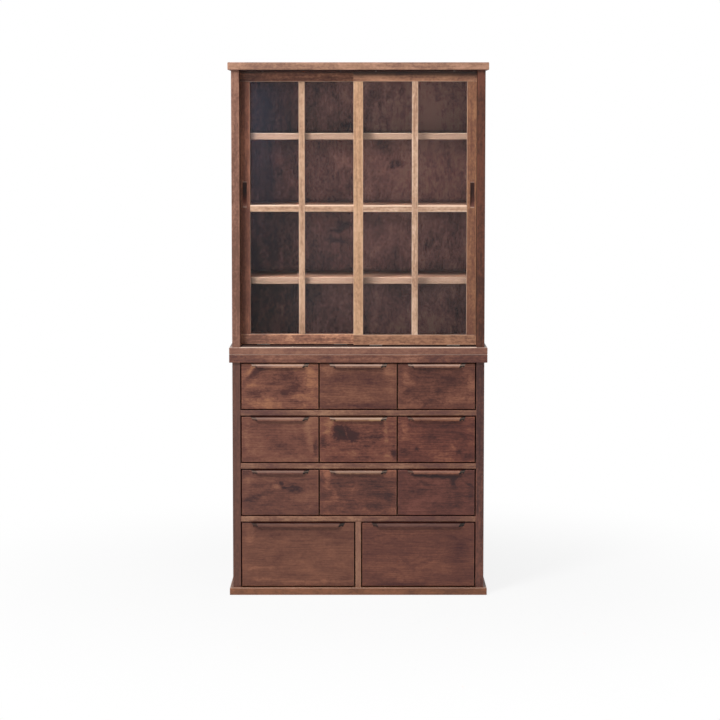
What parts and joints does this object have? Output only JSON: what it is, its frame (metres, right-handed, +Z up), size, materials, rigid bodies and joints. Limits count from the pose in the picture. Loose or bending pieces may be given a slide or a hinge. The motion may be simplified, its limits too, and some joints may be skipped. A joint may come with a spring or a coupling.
{
  "type": "apothecary chest",
  "caption": "Tall wooden storage piece: a chest of drawers with lip pulls below, and a shelved cabinet with sliding glazed lattice doors above.",
  "frame": {"origin": "on the floor under the middle of the whole piece", "axes": "+X to the right, -Y to the front where the drawers and doors are, +Z up"},
  "size_m": [0.8, 0.39, 1.65],
  "materials": {
    "case_wood": "walnut-stained alder, satin lacquer",
    "front_wood": "walnut-stained alder, satin lacquer",
    "lattice_wood": "lightly stained alder, satin lacquer",
    "box_wood": "plain hardwood, clear sealed",
    "back_panel": "stained veneered panel, satin lacquer",
    "glass": "clear float glass",
    "nylon": "natural nylon",
    "pin_steel": "plain steel pins"
  },
  "bodies": {
    "case": {"plinth_board": "case_wood", "chest_side_left": "case_wood", "chest_side_right": "case_wood", "chest_top": "case_wood", "chest_back": "back_panel", "rail_upper": "case_wood", "rail_middle": "case_wood", "rail_lower": "case_wood", "dust_boards": "box_wood", "row_dividers": "box_wood", "base_post": "case_wood", "drawer_runners": "box_wood", "drawer_guides": "box_wood", "case_dowels": "box_wood", "stacking_dowels": "box_wood", "cabinet_base": "case_wood", "cabinet_side_left": "case_wood", "cabinet_side_right": "case_wood", "cabinet_top": "case_wood", "cabinet_back": "back_panel", "shelf_low": "lattice_wood", "shelf_middle": "lattice_wood", "shelf_high": "lattice_wood", "shelf_pins": "pin_steel", "bottom_fillets": "lattice_wood", "top_fillets": "lattice_wood"},
    "left_door": {"left_door_rails": "lattice_wood", "left_door_outer_stile": "lattice_wood", "left_door_centre_stile": "lattice_wood", "left_door_bars": "lattice_wood", "left_door_glass": "glass", "left_door_glides": "nylon"},
    "right_door": {"right_door_rails": "lattice_wood", "right_door_outer_stile": "lattice_wood", "right_door_centre_stile": "lattice_wood", "right_door_bars": "lattice_wood", "right_door_glass": "glass", "right_door_glides": "nylon"},
    "drawer_top_left": {"front_top_left": "front_wood", "box_top_left": "box_wood"},
    "drawer_top_centre": {"front_top_centre": "front_wood", "box_top_centre": "box_wood"},
    "drawer_top_right": {"front_top_right": "front_wood", "box_top_right": "box_wood"},
    "drawer_middle_left": {"front_middle_left": "front_wood", "box_middle_left": "box_wood"},
    "drawer_middle_centre": {"front_middle_centre": "front_wood", "box_middle_centre": "box_wood"},
    "drawer_middle_right": {"front_middle_right": "front_wood", "box_middle_right": "box_wood"},
    "drawer_bottom_left": {"front_bottom_left": "front_wood", "box_bottom_left": "box_wood"},
    "drawer_bottom_centre": {"front_bottom_centre": "front_wood", "box_bottom_centre": "box_wood"},
    "drawer_bottom_right": {"front_bottom_right": "front_wood", "box_bottom_right": "box_wood"},
    "drawer_base_left": {"front_base_left": "front_wood", "box_base_left": "box_wood"},
    "drawer_base_right": {"front_base_right": "front_wood", "box_base_right": "box_wood"}
  },
  "joints": [
    {"name": "left_door_slide", "type": "slide", "parent": "case", "child": "left_door", "axis": [1, 0, 0], "range_m": [0, 0.348]},
    {"name": "right_door_slide", "type": "slide", "parent": "case", "child": "right_door", "axis": [-1, 0, 0], "range_m": [0, 0.348]},
    {"name": "drawer_top_left_slide", "type": "slide", "parent": "case", "child": "drawer_top_left", "axis": [0, -1, 0], "range_m": [0, 0.28]},
    {"name": "drawer_top_centre_slide", "type": "slide", "parent": "case", "child": "drawer_top_centre", "axis": [0, -1, 0], "range_m": [0, 0.28]},
    {"name": "drawer_top_right_slide", "type": "slide", "parent": "case", "child": "drawer_top_right", "axis": [0, -1, 0], "range_m": [0, 0.28]},
    {"name": "drawer_middle_left_slide", "type": "slide", "parent": "case", "child": "drawer_middle_left", "axis": [0, -1, 0], "range_m": [0, 0.28]},
    {"name": "drawer_middle_centre_slide", "type": "slide", "parent": "case", "child": "drawer_middle_centre", "axis": [0, -1, 0], "range_m": [0, 0.28]},
    {"name": "drawer_middle_right_slide", "type": "slide", "parent": "case", "child": "drawer_middle_right", "axis": [0, -1, 0], "range_m": [0, 0.28]},
    {"name": "drawer_bottom_left_slide", "type": "slide", "parent": "case", "child": "drawer_bottom_left", "axis": [0, -1, 0], "range_m": [0, 0.28]},
    {"name": "drawer_bottom_centre_slide", "type": "slide", "parent": "case", "child": "drawer_bottom_centre", "axis": [0, -1, 0], "range_m": [0, 0.28]},
    {"name": "drawer_bottom_right_slide", "type": "slide", "parent": "case", "child": "drawer_bottom_right", "axis": [0, -1, 0], "range_m": [0, 0.28]},
    {"name": "drawer_base_left_slide", "type": "slide", "parent": "case", "child": "drawer_base_left", "axis": [0, -1, 0], "range_m": [0, 0.28]},
    {"name": "drawer_base_right_slide", "type": "slide", "parent": "case", "child": "drawer_base_right", "axis": [0, -1, 0], "range_m": [0, 0.28]}
  ]
}
